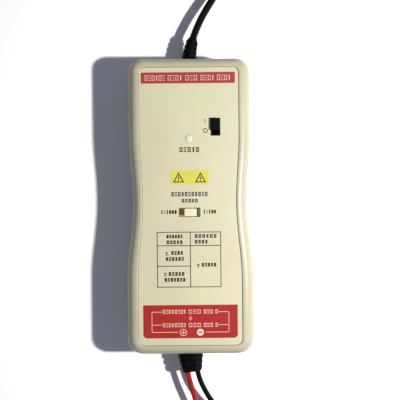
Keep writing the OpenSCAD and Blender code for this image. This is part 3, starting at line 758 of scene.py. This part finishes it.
def front_film(name, line, keep_line):
    """The shell's flat front without a narrow line at its edges, or only that line, which carries the
    painted shade of the step where the film meets the rim.

    It leaves the mesh open for finish_print.  The line around the lamp is left out.
    """
    film = copy_of("top_shell", name)
    corners = film.data.vertices
    bpy.ops.object.mode_set(mode="EDIT")
    bpy.ops.mesh.select_mode(type="FACE")
    bpy.ops.mesh.select_all(action="DESELECT")
    bpy.ops.object.mode_set(mode="OBJECT")
    for face in film.data.polygons:
        face.select = any(abs(corners[i].co.z - PANEL_Z) > FLAT_WITHIN for i in face.vertices)
    bpy.ops.object.mode_set(mode="EDIT")
    bpy.ops.mesh.delete(type="FACE")
    bpy.ops.mesh.select_all(action="SELECT")
    bpy.ops.mesh.inset(thickness=line * MM, use_boundary=True)
    if not keep_line:
        bpy.ops.mesh.select_all(action="INVERT")
    bpy.ops.mesh.delete(type="FACE")
    if keep_line:
        bpy.ops.object.mode_set(mode="OBJECT")
        for face in film.data.polygons:
            face.select = (face.center - LAMP_CENTRE).length < LAMP_REACH
        bpy.ops.object.mode_set(mode="EDIT")
        bpy.ops.mesh.delete(type="FACE")


front_film("front_film", PAINTED_SHADE_LINE, False)
finish_print(0, film_cream, "case_front")
# Only the edge line, in a dark colour: painted shade of the step around the film
front_film("front_film_edge_painted_shade", PAINTED_SHADE_LINE, True)
finish_print(0, painted_edge_shade, "case_front")

start_print("lamp_film_rim")
oval(*LAMP_PLACE, 5.7, 5.7, 0.42, 48)
finish_print(PANEL_Z, film_cream, "case_front")

SIGN_LINE = 0.5
NUMBER_LINE = 0.7

# On and off signs, the lamp's caption, then the ratio switch's caption and scale numbers
start_print("panel_captions")
block(10.24, 53.6, 0.45, 2.6)
oval(10.4, 47.5, 3.0, 3.0, SIGN_LINE)
mark_row(-6.4, 6.6, 35.6, 3.1, 5, 0.65)
mark_row(-11.7, 11.7, 7.4, 2.7, 11, 0.62)
mark_row(-5.1, 5.4, 3.2, 2.3, 5, 0.62)
numerals(-18.4, -8, -3.9, 2.7, "1:1000", NUMBER_LINE)
numerals(8.5, 16.9, -3.8, 2.6, "1:100", NUMBER_LINE)
finish_print(FILM_TOP, ink_dark, "black_plastic")

TABLE_LEFT, TABLE_MIDDLE, TABLE_RIGHT = -20.7, 0.26, 19.5
TABLE_TOP, TABLE_HEAD, TABLE_SPLIT, TABLE_BOTTOM = -16.7, -25.2, -38.2, -51.4
RULE = 0.5

start_print("range_table")
for y in (TABLE_TOP, TABLE_HEAD, TABLE_BOTTOM):
    stripe(TABLE_LEFT, y, TABLE_RIGHT, y, RULE)
stripe(TABLE_LEFT, TABLE_SPLIT, TABLE_MIDDLE, TABLE_SPLIT, RULE)
for x in (TABLE_LEFT, TABLE_MIDDLE, TABLE_RIGHT):
    stripe(x, TABLE_TOP, x, TABLE_BOTTOM, RULE)
for x0, x1, y, tall, count in (
    (-15, -4.4, -19.4, 2.3, 6),
    (-15, -4.4, -23, 2.3, 5),
    (2.8, 17.2, -19.2, 2.3, 6),
    (2.8, 11.6, -22.8, 2.3, 4),
    (-12, -4.2, -29.8, 2.4, 4),
    (-15.6, -3.6, -33.6, 2.4, 6),
    (-13.8, -3.4, -43.1, 2.4, 5),
    (-16.4, -2.8, -46.8, 2.4, 7),
    (7.2, 16.8, -37.4, 2.4, 5),
):
    mark_row(x0, x1, y, tall, count, NUMBER_LINE)
for x, y in ((-14.8, -30.2), (-15.8, -43.4), (5.2, -37.8)):
    # a plus-or-minus sign
    block(x, y + 0.4, 1.6, SIGN_LINE)
    block(x, y + 0.4, SIGN_LINE, 1.6)
    block(x, y - 0.9, 1.6, SIGN_LINE)
finish_print(FILM_TOP, ink_dark, "black_plastic")

TRIANGLE_LINE = 0.65
POINT_LINE = 0.55

start_print("caution_triangles")
for x, y in ((-6.85, 17.0), (7.1, 16.9)):
    oval(x, y, 8.2, 8.6, TRIANGLE_LINE, 3)
    block(x, y + 0.5, POINT_LINE, 2.6)
    block(x, y - 1.5, POINT_LINE, POINT_LINE)
finish_print(LABEL_TOP, ink_dark, "black_plastic")

OUTPUT_LINE = 0.32
OUTPUT_WORDS = ((-28, -14.6, 6), (-13.4, -3.6, 4), (-2.2, 5.8, 3), (7.4, 16.6, 4), (17.8, 27, 4))

start_print("output_strip_marks")
for x0, x1, count in OUTPUT_WORDS:
    mark_row(x0, x1, 81.1, 3.3, count, OUTPUT_LINE)
finish_print(LABEL_TOP, ink_pale, "ivory_plastic")

DRAWING_LEFT, DRAWING_RIGHT, DRAWING_TOP, DRAWING_BOTTOM = -24.4, 24.3, -67.2, -80
INPUT_LINE = 0.34
PLUS_PLACE = (-4.6, -80.2)
MINUS_PLACE = (6.2, -80.1)
INPUT_WORDS = ((-17.8, -2.6, 8), (-1.4, 6.8, 3), (8.2, 14.4, 3), (15.6, 17.4, 1))

# The line drawing, two rows of marks in it, the arrow between them, and the plus and minus signs
start_print("input_label_marks")
for y in (DRAWING_TOP, -75.4):
    stripe(DRAWING_LEFT, y, -18.4, y, INPUT_LINE)
    stripe(17.9, y, DRAWING_RIGHT, y, INPUT_LINE)
stripe(DRAWING_LEFT, DRAWING_BOTTOM, -8.2, DRAWING_BOTTOM, INPUT_LINE)
stripe(10, DRAWING_BOTTOM, DRAWING_RIGHT, DRAWING_BOTTOM, INPUT_LINE)
for x in (DRAWING_LEFT, DRAWING_RIGHT):
    stripe(x, DRAWING_TOP, x, DRAWING_BOTTOM, INPUT_LINE)
for y in (-67, -75.5):
    for x0, x1, count in INPUT_WORDS:
        mark_row(x0, x1, y, 2.5, count, INPUT_LINE)
oval(0, -71.4, 2.6, 2.6, 0.3, 3, 180)
block(0, -69.8, 0.3, 1.0)
oval(*PLUS_PLACE, 4.5, 4.5, INPUT_LINE)
block(*PLUS_PLACE, 2.5, SIGN_LINE)
block(*PLUS_PLACE, SIGN_LINE, 2.5)
oval(*MINUS_PLACE, 4.4, 4.4)
finish_print(LABEL_TOP, ink_pale, "ivory_plastic")

start_print("minus_bar")
block(*MINUS_PLACE, 2.5, 0.6)
finish_print(LABEL_TOP + INK_T, ink_dark, "black_plastic")


# ---- plugs ----

PLUG_EDGE = 0.00012

for node_name, slot, material in (
    ("bnc_boot", "black_rubber", relief_rubber),
    ("bnc_body", "nickel", nickel),
    ("bnc_insulator", "white_insulator", white_nylon),
    ("bnc_pin", "gold", gold_plate),
    ("red_plug", "red_jacket", plug_red),
    ("red_pin", "nickel", nickel),
    ("black_plug", "black_jacket", plug_black),
    ("black_pin", "nickel", nickel),
):
    better_node(node_name, "case", slot, material, PLUG_EDGE)
for node_name in ("coax_tie", "red_tie", "black_tie"):
    better_node(node_name, "case", "tie_black", strap_black, 0.00032, 3, 50)
better_node("bnc_collar", "bnc_collar", "nickel", nickel, PLUG_EDGE)
